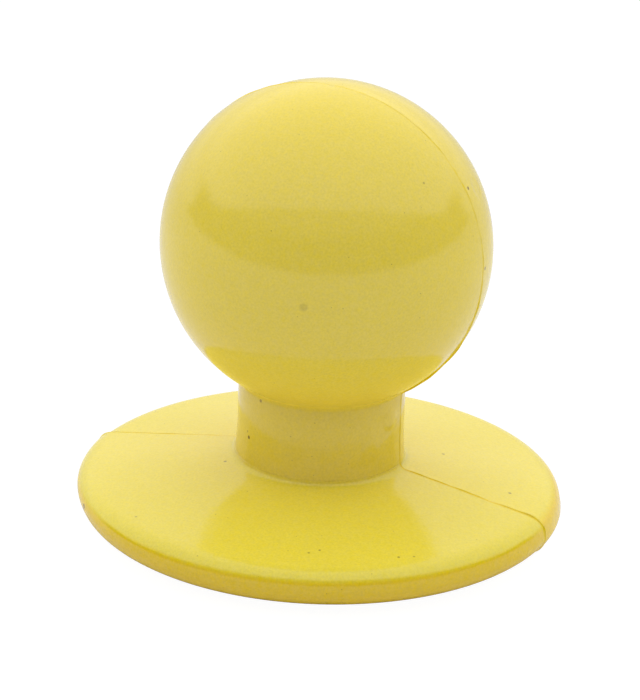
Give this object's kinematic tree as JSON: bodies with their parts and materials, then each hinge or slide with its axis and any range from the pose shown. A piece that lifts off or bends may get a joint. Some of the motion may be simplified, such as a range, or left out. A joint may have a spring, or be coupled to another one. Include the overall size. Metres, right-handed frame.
{
  "type": "ball stud button",
  "caption": "Moulded ball stud button with a round head, short neck and lens-shaped flange, pushed through buttonholes to close a jacket.",
  "frame": {"origin": "centre of the flange's flat underside", "axes": "+Z along the stud's axis towards the ball; the mould parting plane is X-Z, and the mould halves pull along +Y and -Y"},
  "size_m": [0.0182, 0.018, 0.0175],
  "materials": {
    "yellow_plastic": "glossy on the ball, fine orange-peel satin on the flange"
  },
  "bodies": {
    "root": {"ball_stud": "yellow_plastic"}
  },
  "joints": []
}
